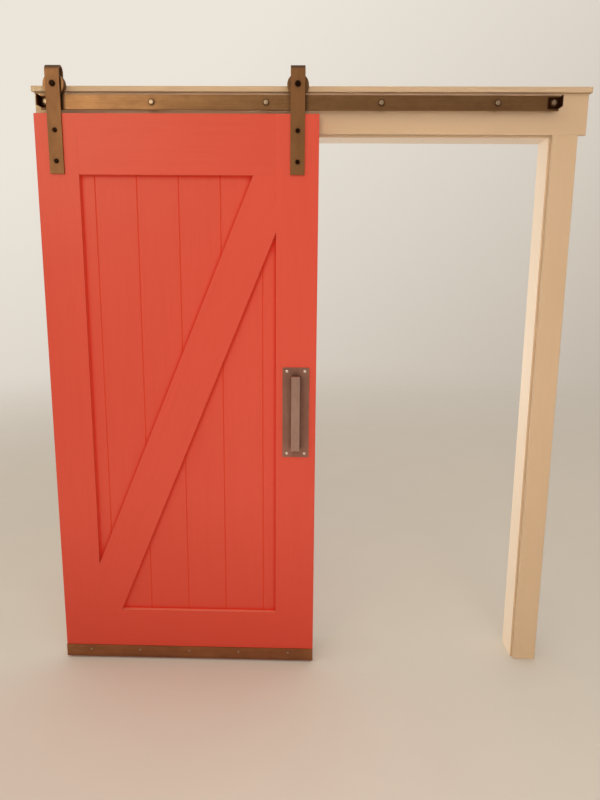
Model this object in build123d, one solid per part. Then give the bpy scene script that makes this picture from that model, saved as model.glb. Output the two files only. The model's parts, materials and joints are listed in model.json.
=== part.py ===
from build123d import *
import math
import os

# A plank barn door that hangs from a flat rail by two strap hangers, with the
# doorway that it closes: jambs, casing, header board and cap. Millimetres, +Z up.
# The origin is on the floor, in the middle of the doorway, in the plane of the
# wall's face. The room is on the -Y side, and the door stands open to the left.

# Doorway
opening_width = 914.4
opening_height = 2060.0
jamb_thickness = 19.05
jamb_depth = 115.6
dado_depth = 6.0
reveal = 8.0

# Casing, header board and cap
trim_thickness = 19.05
casing_width = 88.9
header_height = 139.7
header_past_casing = 27.6
header_past_rail = 35.9
cap_thickness = 19.05
cap_front_overhang = 12.7
cap_end_overhang = 8.0
eased_edge = 1.2

# Rail, its spacers and the lag bolts
rail_height = 50.8
rail_thickness = 6.35
rail_above_header_foot = 72.0
rail_inside_casing_edge = 88.9
rail_eased_edge = 0.8
spacer_length = 35.5
lag_diameter = 9.5
lag_thread_diameter = 8.6
lag_depth_in_wall = 64.0
lag_thread_start = 1.0
lag_tip_length = 12.0
lag_point_radius = 1.0
lag_head_across_flats = 14.3
lag_head_height = 4.6
lag_washer_diameter = 24.0
stud_spacing = 406.4
first_stud_from_rail_end = 396.4
end_lag_inset = 19.6

# Stops at the rail's ends
stop_plate_thickness = 4.8
stop_leg_on_rail = 38.1
stop_leg_forward = 40.0
stop_inner_bend = 2.5

# Grooved wheels, with their bearings and axles
wheel_diameter = 76.2
tread_diameter = 63.5
wheel_width = 25.4
wheel_groove_clearance = 0.8
wheel_groove_flare = 1.6
wheel_rim_round = 1.5
wheel_dish_depth = 2.5
wheel_dish_margin = 3.5
bearing_diameter = 32.0
bearing_recess = 1.5
sleeve_diameter = 17.0
axle_diameter = 12.0
axle_head_across_flats = 18.5
axle_head_height = 7.5
axle_washer_thickness = 2.9
axle_washer_diameter = 26.0

# Hanger straps and their bolts
strap_width = 50.8
strap_thickness = 6.35
strap_below_door_top = 206.0
strap_above_wheel = 4.5
strap_corner_round = 1.5
axle_above_door_top = 97.5
hanger_bolt_diameter = 9.5
hanger_bolt_across_flats = 14.3
hanger_bolt_head_height = 6.1
hanger_nut_height = 6.0
hanger_washer_diameter = 22.0
washer_thickness = 1.6
upper_bolt_below_door_top = 57.2
lower_bolt_below_door_top = 162.5

# Door leaf
door_overlap = 50.8
door_thickness = 44.45
door_floor_gap = 8.0
stile_width = 152.4
top_rail_height = 208.0
bottom_rail_height = 209.5
plank_thickness = 12.7
side_plank_width = 50.8
whole_plank_count = 4
plank_housing = 10.0
plank_end_play = 0.5
tongue_length = 6.0
tongue_thickness = 4.2
vee_side = 3.2
brace_width = 152.4
arris = 1.5

# Metal strip along the door's foot
strip_height = 50.8
strip_thickness = 3.2
strip_screw_height = 32.0
strip_screw_spacing = 203.2
strip_screw_count = 5
strip_screw_head_diameter = 9.0
strip_screw_head_height = 2.2
strip_screw_shank_diameter = 4.0
strip_screw_length = 16.0

# Pull handle on the right stile
pull_plate_width = 101.6
pull_plate_height = 349.2
pull_plate_thickness = 3.2
pull_centre_above_floor = 1050.0
pull_bar_width = 31.75
pull_bar_thickness = 6.35
pull_bar_length = 285.75
pull_bar_standoff = 38.0
pull_bar_corner_round = 2.0
pull_screw_inset_x = 17.0
pull_screw_inset_z = 14.5
pull_screw_head_diameter = 11.0
pull_screw_head_height = 2.6
pull_screw_shank_diameter = 4.8
pull_screw_length = 22.0

# Guide at the foot of the left casing
guide_thickness = 3.0
guide_width = 40.0
guide_inset = 2.0
guide_plate_top = 58.0
guide_floor_clearance = 1.5
guide_bend = 4.0
guide_blade_engagement = 18.0
guide_groove_depth = 22.0
guide_side_clearance = 1.5
guide_screw_head_diameter = 8.0
guide_screw_head_height = 2.0
guide_screw_shank_diameter = 3.8
guide_screw_length = 20.0
guide_screw_below_top = 12.0
guide_screw_spacing = 18.0

# Clearances
running_gap = 0.3
flange_clearance = 1.05
bolt_hole_clearance = 0.35
shaft_clearance = 0.08
press_gap = 0.05
rest_gap_to_stop = 22.0
cutter_margin = 1.0

# Places in the doorway
half_opening = opening_width / 2
casing_inner_x = half_opening + reveal
casing_outer_x = casing_inner_x + casing_width
header_foot_z = opening_height + reveal
header_top_z = header_foot_z + header_height
trim_front_y = -trim_thickness

# Places along and across the rail
rail_length = 2 * opening_width
rail_right_x = casing_outer_x - rail_inside_casing_edge
rail_left_x = rail_right_x - rail_length
rail_foot_z = header_foot_z + rail_above_header_foot
rail_top_z = rail_foot_z + rail_height
rail_mid_z = (rail_foot_z + rail_top_z) / 2
rail_back_y = trim_front_y - spacer_length
rail_front_y = rail_back_y - rail_thickness
rail_mid_y = (rail_back_y + rail_front_y) / 2
stop_front_y = rail_front_y - stop_plate_thickness
header_left_x = rail_left_x - header_past_rail
header_right_x = casing_outer_x + header_past_casing
lag_hole_radius = lag_diameter / 2 + bolt_hole_clearance

# Wheels: the flanges hang beside the rail, so spacers and stops stay below them
flange_reach = (wheel_diameter - tread_diameter) / 2
below_flanges = rail_height - 2 * (flange_reach + flange_clearance)
spacer_diameter = below_flanges
stop_height = below_flanges
axle_z = rail_top_z + tread_diameter / 2 + running_gap

# Straps: the wheel and a washer each side fill the space between the two legs
strap_gap = wheel_width + 2 * (axle_washer_thickness + running_gap)
strap_inner_y = rail_mid_y - strap_gap / 2
strap_front_y = strap_inner_y - strap_thickness
strap_rear_inner_y = rail_mid_y + strap_gap / 2
strap_rear_y = strap_rear_inner_y + strap_thickness
strap_bend_z = axle_z + wheel_diameter / 2 + strap_above_wheel

# Door leaf, which hangs behind the straps' front legs
door_front_y = strap_inner_y
door_back_y = door_front_y + door_thickness
door_mid_y = (door_front_y + door_back_y) / 2
door_top_z = axle_z - axle_above_door_top
door_foot_z = door_floor_gap
door_width = opening_width + 2 * door_overlap
hanger_offset = (door_width - stile_width) / 2
left_hanger_x = rail_left_x + stop_plate_thickness + rest_gap_to_stop + strap_width / 2
door_centre_x = left_hanger_x + hanger_offset
right_hanger_x = door_centre_x + hanger_offset
hanger_xs = [left_hanger_x, right_hanger_x]
door_left_x = door_centre_x - door_width / 2
door_right_x = door_centre_x + door_width / 2
hanger_bolt_zs = [door_top_z - upper_bolt_below_door_top, door_top_z - lower_bolt_below_door_top]

# Panel inside the stiles and rails
panel_left_x = door_left_x + stile_width
panel_right_x = door_right_x - stile_width
panel_foot_z = door_foot_z + bottom_rail_height
panel_top_z = door_top_z - top_rail_height
plank_front_y = door_mid_y - plank_thickness / 2
plank_back_y = door_mid_y + plank_thickness / 2
plank_reach = plank_housing - plank_end_play
whole_plank_width = (panel_right_x - panel_left_x - 2 * side_plank_width) / whole_plank_count

# Guide, with its blade on the door's mid-plane
guide_right_x = -casing_inner_x - guide_inset
guide_left_x = guide_right_x - guide_width
guide_mid_x = (guide_left_x + guide_right_x) / 2
guide_blade_top_z = door_foot_z + guide_blade_engagement
guide_groove_width = guide_thickness + 2 * guide_side_clearance
guide_plate_front_y = trim_front_y - guide_thickness
upper_guide_screw_z = guide_plate_top - guide_screw_below_top
guide_screw_zs = [upper_guide_screw_z, upper_guide_screw_z - guide_screw_spacing]

# Pull handle, centred on the right stile
pull_x = door_right_x - stile_width / 2
pull_plate_front_y = door_front_y - pull_plate_thickness
pull_bar_front_y = pull_plate_front_y - pull_bar_standoff


def block(x_low, x_high, y_low, y_high, z_low, z_high):
    """A square-edged block between two corners."""
    middle = Pos((x_low + x_high) / 2, (y_low + y_high) / 2, (z_low + z_high) / 2)
    return middle * Box(x_high - x_low, y_high - y_low, z_high - z_low)


def facing_room(y, x=0, z=0):
    """A plane at depth y whose normal points into the room."""
    return Plane.XZ.offset(-y) * Pos(x, z)


def rod(x, z, radius, y_back, y_front):
    """A round bar from y_back forward to y_front."""
    return extrude(facing_room(y_back, x, z) * Circle(radius), y_back - y_front)


def ring(x, z, outer_radius, inner_radius, y_back, y_front):
    """A tube or washer from y_back forward to y_front."""
    outline = Circle(outer_radius) - Circle(inner_radius)
    return extrude(facing_room(y_back, x, z) * outline, y_back - y_front)


def bore(x, z, radius, y_back, y_front):
    """A cutter for a round hole that comes out at both ends."""
    return rod(x, z, radius, y_back + cutter_margin, y_front - cutter_margin)


def taper(x, z, back_radius, front_radius, y_back, y_front):
    """A cone whose radius changes evenly from y_back forward to y_front."""
    ends = (Align.CENTER, Align.CENTER, Align.MIN)
    return facing_room(y_back, x, z) * Cone(back_radius, front_radius, y_back - y_front, align=ends)


def hexagon(x, z, across_flats, y_back, y_front):
    """A six-sided prism from y_back forward to y_front."""
    outline = RegularPolygon(across_flats / 2, 6, major_radius=False)
    return extrude(facing_room(y_back, x, z) * outline, y_back - y_front)


def hex_head(x, z, across_flats, y_seat, height):
    """A bolt head whose front corners are turned away in a cone."""
    head = hexagon(x, z, across_flats, y_seat, y_seat - height)
    corner_radius = across_flats / math.sqrt(3)
    seat_radius = corner_radius + height / 2
    crown_radius = corner_radius - height / 2
    return head & taper(x, z, seat_radius, crown_radius, y_seat, y_seat - height)


def domed_head(x, z, diameter, y_seat, height):
    """A screw head in the form of a low dome."""
    radius = diameter / 2
    sphere_radius = (radius ** 2 + height ** 2) / (2 * height)
    dome = facing_room(y_seat - height + sphere_radius, x, z) * Sphere(sphere_radius)
    return dome & rod(x, z, radius, y_seat, y_seat - height)


def across_door(y_low, y_high, z_low, z_high):
    """A rectangle in a section across the door, with depth along its X and height along its Y."""
    return Pos((y_low + y_high) / 2, (z_low + z_high) / 2) * Rectangle(y_high - y_low, z_high - z_low)


def eased_board(x_low, x_high, y_front, z_low, z_high):
    """A painted board with its back on the wall's plane and its front edges eased."""
    board = block(x_low, x_high, y_front, 0, z_low, z_high)
    return chamfer(board.faces().sort_by(Axis.Y)[0].edges(), eased_edge)


def side_jamb(side):
    """A side of the doorway's lining, notched near its top for the head; side is -1 or 1."""
    inner = side * half_opening
    outer = side * (half_opening + jamb_thickness)
    notch = side * (half_opening + dado_depth)
    board = block(min(inner, outer), max(inner, outer), 0, jamb_depth, 0, opening_height + jamb_thickness)
    housing = block(min(inner, notch), max(inner, notch), 0, jamb_depth,
                    opening_height, opening_height + jamb_thickness)
    return board - housing


def head_jamb():
    """The top of the doorway's lining, let into both side jambs."""
    half_length = half_opening + dado_depth
    return block(-half_length, half_length, 0, jamb_depth, opening_height, opening_height + jamb_thickness)


def casing(side):
    """The flat board beside the doorway; side is -1 or 1."""
    edges = sorted([side * casing_inner_x, side * casing_outer_x])
    return eased_board(edges[0], edges[1], trim_front_y, 0, header_foot_z)


def lag_places():
    """Each lag bolt's x and the y of the face that its washer bears on."""
    left_end = rail_left_x + end_lag_inset
    right_end = rail_right_x - end_lag_inset
    places = [(left_end, stop_front_y), (right_end, stop_front_y)]
    stud_x = rail_left_x + first_stud_from_rail_end
    while stud_x < right_end - stop_leg_on_rail:
        places.append((stud_x, rail_front_y))
        stud_x += stud_spacing
    return places


def lag_holes(y_back, y_front):
    """Cutters for the lag bolts between two depths."""
    return [bore(x, rail_mid_z, lag_hole_radius, y_back, y_front) for x, seat in lag_places()]


def header_board():
    """The long board that the rail is bolted through."""
    board = eased_board(header_left_x, header_right_x, trim_front_y, header_foot_z, header_top_z)
    return board - lag_holes(0, trim_front_y)


def header_cap():
    """The flat cap that lies along the header's top and stands out over it."""
    return eased_board(header_left_x - cap_end_overhang, header_right_x + cap_end_overhang,
                       trim_front_y - cap_front_overhang, header_top_z, header_top_z + cap_thickness)


def rail():
    """The flat bar that the wheels run on."""
    bar = block(rail_left_x, rail_right_x, rail_front_y, rail_back_y, rail_foot_z, rail_top_z)
    bar = chamfer(bar.edges().filter_by(Axis.X), rail_eased_edge)
    return bar - lag_holes(rail_back_y, rail_front_y)


def rail_spacers():
    """A turned tube on each lag bolt, between the header and the rail."""
    return [ring(x, rail_mid_z, spacer_diameter / 2, lag_hole_radius, trim_front_y, rail_back_y)
            for x, seat in lag_places()]


def lag_washers():
    """A flat washer under each lag bolt's head."""
    return [ring(x, rail_mid_z, lag_washer_diameter / 2, lag_hole_radius, seat, seat - washer_thickness)
            for x, seat in lag_places()]


def lag_bolt(x, seat):
    """A lag bolt, plain as far as the wall's face and threaded to its point in the stud."""
    under_head = seat - washer_thickness
    thread_radius = lag_thread_diameter / 2
    thread_end = lag_depth_in_wall - lag_tip_length
    shank = rod(x, rail_mid_z, lag_diameter / 2, lag_thread_start, under_head)
    thread = rod(x, rail_mid_z, thread_radius, thread_end, lag_thread_start)
    point = taper(x, rail_mid_z, lag_point_radius, thread_radius, lag_depth_in_wall, thread_end)
    head = hex_head(x, rail_mid_z, lag_head_across_flats, under_head, lag_head_height)
    return shank + thread + point + head


def rail_stop(side):
    """A bent plate under the end lag bolt, its other leg standing out to meet the strap."""
    end_x = rail_left_x if side < 0 else rail_right_x
    low_z = rail_mid_z - stop_height / 2
    high_z = rail_mid_z + stop_height / 2
    flat_xs = sorted([end_x, end_x - side * stop_leg_on_rail])
    leg_xs = sorted([end_x, end_x - side * stop_plate_thickness])
    tip_y = rail_front_y - stop_leg_forward
    flat_leg = block(flat_xs[0], flat_xs[1], stop_front_y, rail_front_y, low_z, high_z)
    front_leg = block(leg_xs[0], leg_xs[1], tip_y, rail_front_y, low_z, high_z)
    hole_x = end_x - side * end_lag_inset
    hole = bore(hole_x, rail_mid_z, lag_hole_radius, rail_front_y, stop_front_y)
    plate = flat_leg + front_leg
    inner_corner = (end_x - side * stop_plate_thickness, stop_front_y, rail_mid_z)
    plate = fillet(plate.edges().filter_by(Axis.Z).sort_by_distance(inner_corner)[0], stop_inner_bend)
    outer_corner = (end_x, rail_front_y, rail_mid_z)
    outer_bend = stop_inner_bend + stop_plate_thickness
    plate = fillet(plate.edges().filter_by(Axis.Z).sort_by_distance(outer_corner)[0], outer_bend)
    return plate - hole


def wheel(x):
    """A steel wheel whose flanges straddle the rail, bored for its bearing."""
    rim = wheel_diameter / 2
    tread = tread_diameter / 2
    bore_radius = bearing_diameter / 2 + press_gap
    half_width = wheel_width / 2
    groove_foot = rail_thickness / 2 + wheel_groove_clearance
    groove_mouth = groove_foot + wheel_groove_flare
    groove = Polyline((rim, -groove_mouth), (tread, -groove_foot),
                      (tread, groove_foot), (rim, groove_mouth), close=True)
    profile = Pos((bore_radius + rim) / 2, 0) * Rectangle(rim - bore_radius, wheel_width)
    profile -= make_face(groove)
    rim_corners = profile.vertices().group_by(Axis.X)[-1]
    profile = fillet(rim_corners, wheel_rim_round)
    dish_low = bearing_diameter / 2 + wheel_dish_margin
    dish_high = tread - wheel_dish_margin
    for side in (-1, 1):
        dish_y = side * (half_width - wheel_dish_depth / 2)
        profile -= Pos((dish_low + dish_high) / 2, dish_y) * Rectangle(dish_high - dish_low, wheel_dish_depth)
    return Pos(x, rail_mid_y, axle_z) * revolve(Plane.XY * profile, Axis.Y)


def wheel_bearing(x):
    """The bearing's outer ring, pressed into the wheel and turning on the sleeve."""
    half_width = wheel_width / 2 - bearing_recess
    inner_radius = sleeve_diameter / 2 + shaft_clearance
    back_y = rail_mid_y + half_width
    front_y = rail_mid_y - half_width
    return ring(x, axle_z, bearing_diameter / 2, inner_radius, back_y, front_y)


def axle_bolt(x):
    """A bolt through the front leg and the sleeve, screwed into the rear leg."""
    shank = rod(x, axle_z, axle_diameter / 2, strap_rear_y, strap_front_y)
    return shank + hex_head(x, axle_z, axle_head_across_flats, strap_front_y, axle_head_height)


def axle_sleeve(x):
    """The tube that the axle bolt clamps between the strap's legs."""
    inner_radius = axle_diameter / 2 + press_gap
    return ring(x, axle_z, sleeve_diameter / 2, inner_radius, strap_rear_inner_y, strap_inner_y)


def axle_washers(x):
    """The two washers that hold the wheel in the middle of its strap."""
    outer = axle_washer_diameter / 2
    inner = sleeve_diameter / 2 + press_gap
    rear = ring(x, axle_z, outer, inner, strap_rear_inner_y, strap_rear_inner_y - axle_washer_thickness)
    front = ring(x, axle_z, outer, inner, strap_inner_y + axle_washer_thickness, strap_inner_y)
    return [rear, front]


def hanger_strap(x):
    """A flat bar bolted to the door, bent over the wheel and down to the axle behind it."""
    foot_z = door_top_z - strap_below_door_top
    half_width = strap_width / 2
    front_leg = block(x - half_width, x + half_width, strap_front_y, strap_inner_y, foot_z, strap_bend_z)
    foot_corners = front_leg.edges().filter_by(Axis.Y).sort_by(Axis.Z)[:2]
    front_leg = fillet(foot_corners, strap_corner_round)
    bend_radius = strap_gap / 2 + strap_thickness
    arch = Circle(bend_radius) - Circle(strap_gap / 2)
    arch &= Pos(0, bend_radius / 2) * Rectangle(2 * bend_radius, bend_radius)
    bend = extrude(Plane.YZ.offset(x) * Pos(rail_mid_y, strap_bend_z) * arch, half_width, both=True)
    tongue_height = strap_bend_z - axle_z
    tongue = Circle(half_width) + Pos(0, tongue_height / 2) * Rectangle(strap_width, tongue_height)
    rear_leg = extrude(facing_room(strap_rear_y, x, axle_z) * tongue, strap_thickness)
    strap = front_leg + bend + rear_leg
    strap -= bore(x, axle_z, axle_diameter / 2 + press_gap, strap_rear_y, strap_front_y)
    for z in hanger_bolt_zs:
        strap -= hanger_bolt_hole(x, z)
    return strap


def hanger_bolt_hole(x, z):
    """A cutter for one hanger bolt, through strap and stile."""
    radius = hanger_bolt_diameter / 2 + bolt_hole_clearance
    return bore(x, z, radius, door_back_y, strap_front_y)


def hanger_bolt(x, z):
    """A bolt through the strap and the stile, to the back of its nut."""
    tip = door_back_y + washer_thickness + hanger_nut_height
    shank = rod(x, z, hanger_bolt_diameter / 2, tip, strap_front_y)
    return shank + hex_head(x, z, hanger_bolt_across_flats, strap_front_y, hanger_bolt_head_height)


def hanger_washer(x, z):
    """The washer between the stile's back and the nut."""
    inner = hanger_bolt_diameter / 2 + bolt_hole_clearance
    return ring(x, z, hanger_washer_diameter / 2, inner, door_back_y + washer_thickness, door_back_y)


def hanger_nut(x, z):
    """The thin nut behind the stile, low enough to pass the casing."""
    seat = door_back_y + washer_thickness
    back = seat + hanger_nut_height
    body = hexagon(x, z, hanger_bolt_across_flats, back, seat)
    return body - bore(x, z, hanger_bolt_diameter / 2 + press_gap, back, seat)


def guide_groove():
    """The cutter for the groove along the door's foot that the guide's blade runs in."""
    half_width = guide_groove_width / 2
    return block(door_left_x - cutter_margin, door_right_x + cutter_margin,
                 door_mid_y - half_width, door_mid_y + half_width,
                 door_foot_z - cutter_margin, door_foot_z + guide_groove_depth)


def screw_hole(x, z, y_seat, shank_diameter, length):
    """A cutter for a wood screw's shank, from its seat backward."""
    return rod(x, z, shank_diameter / 2 + press_gap, y_seat + length + press_gap, y_seat - cutter_margin)


def dome_screw(x, z, y_seat, head_diameter, head_height, shank_diameter, length):
    """A wood screw with a low domed head."""
    shank = rod(x, z, shank_diameter / 2, y_seat + length, y_seat)
    return shank + domed_head(x, z, head_diameter, y_seat, head_height)


def strip_screw_places():
    """The x and z of each screw in the foot strip, centred on the door."""
    middle = (strip_screw_count - 1) / 2
    return [(door_centre_x + (i - middle) * strip_screw_spacing, door_foot_z + strip_screw_height)
            for i in range(strip_screw_count)]


def strip_screw_holes():
    """Cutters for the foot strip's screws."""
    seat = door_front_y - strip_thickness
    return [screw_hole(x, z, seat, strip_screw_shank_diameter, strip_screw_length)
            for x, z in strip_screw_places()]


def pull_screw_places():
    """The x and z of the four screws at the pull plate's corners."""
    reach_x = pull_plate_width / 2 - pull_screw_inset_x
    reach_z = pull_plate_height / 2 - pull_screw_inset_z
    xs = [pull_x - reach_x, pull_x + reach_x]
    zs = [pull_centre_above_floor - reach_z, pull_centre_above_floor + reach_z]
    return [(x, z) for x in xs for z in zs]


def pull_screw_holes():
    """Cutters for the pull plate's screws."""
    return [screw_hole(x, z, pull_plate_front_y, pull_screw_shank_diameter, pull_screw_length)
            for x, z in pull_screw_places()]


def stile(side):
    """An upright of the door's frame, grooved for the planks; side is -1 or 1."""
    outer_x = door_left_x if side < 0 else door_right_x
    inner_x = panel_left_x if side < 0 else panel_right_x
    low_x, high_x = sorted([outer_x, inner_x])
    upright = block(low_x, high_x, door_front_y, door_back_y, door_foot_z, door_top_z)
    outer_edges = upright.edges().filter_by(Axis.Z).group_by(Axis.X)[0 if side < 0 else -1]
    upright = chamfer(outer_edges, arris)
    groove_low, groove_high = sorted([inner_x, inner_x + side * plank_housing])
    upright -= block(groove_low, groove_high, plank_front_y, plank_back_y,
                     door_foot_z - cutter_margin, door_top_z + cutter_margin)
    upright -= guide_groove()
    upright -= strip_screw_holes()
    for z in hanger_bolt_zs:
        upright -= hanger_bolt_hole(left_hanger_x if side < 0 else right_hanger_x, z)
    if side > 0:
        upright -= pull_screw_holes()
    return upright


def cross_rail(z_low, z_high, groove_at_top):
    """A rail between the stiles, with stub tenons and a groove for the planks' ends."""
    body = block(panel_left_x, panel_right_x, door_front_y, door_back_y, z_low, z_high)
    groove_low = z_high - plank_housing if groove_at_top else z_low
    body -= block(panel_left_x - cutter_margin, panel_right_x + cutter_margin,
                  plank_front_y, plank_back_y, groove_low, groove_low + plank_housing)
    tenon_low = z_low if groove_at_top else z_low + plank_housing
    tenon_high = z_high - plank_housing if groove_at_top else z_high
    return body + block(panel_left_x - plank_reach, panel_right_x + plank_reach,
                        plank_front_y, plank_back_y, tenon_low, tenon_high)


def top_rail():
    """The door's top rail."""
    return cross_rail(panel_top_z, door_top_z, False)


def bottom_rail():
    """The door's bottom rail, which also takes the foot strip's screws."""
    body = cross_rail(door_foot_z, panel_foot_z, True)
    body -= guide_groove()
    return body - strip_screw_holes()


def plank_edges():
    """The planks' edges: whole planks between two narrower ones that reach into the stiles."""
    first_joint = panel_left_x + side_plank_width
    joints = [first_joint + i * whole_plank_width for i in range(whole_plank_count + 1)]
    return [panel_left_x - plank_reach] + joints + [panel_right_x + plank_reach]


def plank(x_left, x_right, meets_left, meets_right):
    """A board of the panel, tongued on its right edge, with V edges where boards meet."""
    profile = Pos((x_left + x_right) / 2, door_mid_y) * Rectangle(x_right - x_left, plank_thickness)
    meeting_xs = [x for x, meets in ((x_left, meets_left), (x_right, meets_right)) if meets]
    for x in meeting_xs:
        for y in (plank_front_y, plank_back_y):
            profile -= Pos(x, y) * Rot(0, 0, 45) * Rectangle(vee_side, vee_side)
    if meets_left:
        groove_length = tongue_length + running_gap
        groove_width = tongue_thickness + 2 * press_gap
        profile -= Pos(x_left + groove_length / 2, door_mid_y) * Rectangle(groove_length, groove_width)
    if meets_right:
        profile += Pos(x_right + tongue_length / 2, door_mid_y) * Rectangle(tongue_length, tongue_thickness)
    z_low = panel_foot_z - plank_reach
    z_high = panel_top_z + plank_reach
    return extrude(Pos(0, 0, z_low) * profile, z_high - z_low)


def planks():
    """All the boards of the panel, from left to right."""
    edges = plank_edges()
    last = len(edges) - 2
    return [plank(edges[i], edges[i + 1], i > 0, i < last) for i in range(last + 1)]


def diagonal_brace():
    """The board across the panel's diagonal, cut into the corners of the frame."""
    width = panel_right_x - panel_left_x
    height = panel_top_z - panel_foot_z
    slope = math.degrees(math.atan2(height, width))
    board = Rot(0, 0, slope) * Rectangle(math.hypot(width, height) + 2 * brace_width, brace_width)
    outline = board & Rectangle(width, height)
    place = facing_room(plank_front_y, door_centre_x, (panel_foot_z + panel_top_z) / 2)
    return extrude(place * outline, plank_front_y - door_front_y)


def foot_strip():
    """The metal strip screwed along the front of the door's foot."""
    strip = block(door_left_x, door_right_x, door_front_y - strip_thickness, door_front_y,
                  door_foot_z, door_foot_z + strip_height)
    return strip - strip_screw_holes()


def strip_screws():
    """The foot strip's screws."""
    return [dome_screw(x, z, door_front_y - strip_thickness, strip_screw_head_diameter,
                       strip_screw_head_height, strip_screw_shank_diameter, strip_screw_length)
            for x, z in strip_screw_places()]


def pull_plate():
    """The pull handle's back plate."""
    half_width = pull_plate_width / 2
    half_height = pull_plate_height / 2
    plate = block(pull_x - half_width, pull_x + half_width, pull_plate_front_y, door_front_y,
                  pull_centre_above_floor - half_height, pull_centre_above_floor + half_height)
    return plate - pull_screw_holes()


def pull_bar():
    """A flat bar bent back at both ends to meet the plate."""
    foot_z = pull_centre_above_floor - pull_bar_length / 2
    top_z = pull_centre_above_floor + pull_bar_length / 2
    inner_y = pull_bar_front_y + pull_bar_thickness
    outer = across_door(pull_bar_front_y, pull_plate_front_y, foot_z, top_z)
    outer = fillet(outer.vertices().sort_by(Axis.X)[:2], pull_bar_corner_round)
    hollow = across_door(inner_y, pull_plate_front_y, foot_z + pull_bar_thickness, top_z - pull_bar_thickness)
    hollow = fillet(hollow.vertices().sort_by(Axis.X)[:2], pull_bar_corner_round)
    section = Plane.YZ.offset(pull_x) * (outer - hollow)
    return extrude(section, pull_bar_width / 2, both=True)


def pull_screws():
    """The pull plate's screws."""
    return [dome_screw(x, z, pull_plate_front_y, pull_screw_head_diameter, pull_screw_head_height,
                       pull_screw_shank_diameter, pull_screw_length) for x, z in pull_screw_places()]


def guide_screw_holes():
    """Cutters for the guide's screws, through its plate and into the casing."""
    return [screw_hole(guide_mid_x, z, guide_plate_front_y, guide_screw_shank_diameter, guide_screw_length)
            for z in guide_screw_zs]


def guide_bracket():
    """A folded plate on the casing, with an arm under the door and a blade in its groove."""
    arm_low = guide_floor_clearance
    blade_front_y = door_mid_y - guide_thickness / 2
    blade_back_y = blade_front_y + guide_thickness
    outer = across_door(blade_front_y, trim_front_y, arm_low, guide_plate_top)
    outer = fillet(outer.vertices().sort_by(Axis.Y)[:2], guide_bend)
    hollow = across_door(blade_back_y, guide_plate_front_y, arm_low + guide_thickness, guide_plate_top)
    hollow = fillet(hollow.vertices().sort_by(Axis.Y)[:2], guide_bend - guide_thickness)
    above_blade = across_door(blade_front_y, blade_back_y, guide_blade_top_z, guide_plate_top)
    section = outer - hollow - above_blade
    bracket = extrude(Plane.YZ.offset(guide_mid_x) * section, guide_width / 2, both=True)
    return bracket - guide_screw_holes()


def guide_screws():
    """The guide's two screws."""
    return [dome_screw(guide_mid_x, z, guide_plate_front_y, guide_screw_head_diameter,
                       guide_screw_head_height, guide_screw_shank_diameter, guide_screw_length)
            for z in guide_screw_zs]


def frame_pieces():
    """The doorway, the rail and what is fixed to them."""
    return {
        "left_jamb": side_jamb(-1),
        "right_jamb": side_jamb(1),
        "head_jamb": head_jamb(),
        "left_casing": casing(-1) - guide_screw_holes(),
        "right_casing": casing(1),
        "header_board": header_board(),
        "header_cap": header_cap(),
        "rail": rail(),
        "rail_spacers": rail_spacers(),
        "lag_bolts": [lag_bolt(x, seat) for x, seat in lag_places()],
        "lag_washers": lag_washers(),
        "left_stop": rail_stop(-1),
        "right_stop": rail_stop(1),
        "guide_bracket": guide_bracket(),
        "guide_screws": guide_screws(),
    }


def door_pieces():
    """The door leaf and what is fixed to it."""
    bolt_places = [(x, z) for x in hanger_xs for z in hanger_bolt_zs]
    pieces = {
        "left_stile": stile(-1),
        "right_stile": stile(1),
        "top_rail": top_rail(),
        "bottom_rail": bottom_rail(),
        "diagonal_brace": diagonal_brace(),
        "foot_strip": foot_strip(),
        "strip_screws": strip_screws(),
        "pull_plate": pull_plate(),
        "pull_bar": pull_bar(),
        "pull_screws": pull_screws(),
        "left_hanger_strap": hanger_strap(left_hanger_x),
        "right_hanger_strap": hanger_strap(right_hanger_x),
        "hanger_bolts": [hanger_bolt(x, z) for x, z in bolt_places],
        "hanger_washers": [hanger_washer(x, z) for x, z in bolt_places],
        "hanger_nuts": [hanger_nut(x, z) for x, z in bolt_places],
        "axle_bolts": [axle_bolt(x) for x in hanger_xs],
        "axle_sleeves": [axle_sleeve(x) for x in hanger_xs],
        "axle_washers": [washer for x in hanger_xs for washer in axle_washers(x)],
    }
    for number, board in enumerate(planks(), start=1):
        pieces[f"plank_{number}"] = board
    return pieces


def wheel_pieces():
    """The two wheels, each with its bearing."""
    return {
        "left_wheel": wheel(left_hanger_x),
        "left_wheel_bearing": wheel_bearing(left_hanger_x),
        "right_wheel": wheel(right_hanger_x),
        "right_wheel_bearing": wheel_bearing(right_hanger_x),
    }


def write_pieces(pieces):
    """Write each piece, or each group of like pieces, to its own file."""
    os.makedirs("parts", exist_ok=True)
    for name, shape in pieces.items():
        solids = shape if isinstance(shape, list) else [shape]
        export_step(Compound(children=solids), f"parts/{name}.step")


def print_travel():
    """Print the sizes that the door's motion follows from."""
    left_limit = running_gap - rest_gap_to_stop
    right_edge = right_hanger_x + strap_width / 2
    right_limit = rail_right_x - stop_plate_thickness - running_gap - right_edge
    print("travel", round(left_limit, 3), round(right_limit, 3))
    print("axles x", round(left_hanger_x, 3), round(right_hanger_x, 3))
    print("axles y and z", round(rail_mid_y, 3), round(axle_z, 3))
    print("door x", round(door_left_x, 3), round(door_right_x, 3))
    print("door y", round(door_front_y, 3), round(door_back_y, 3))
    print("door z", round(door_foot_z, 3), round(door_top_z, 3))


write_pieces(frame_pieces() | door_pieces() | wheel_pieces())
print_travel()
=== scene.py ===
import json
import math

import bmesh
import bpy
from mathutils import Matrix, Vector


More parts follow.
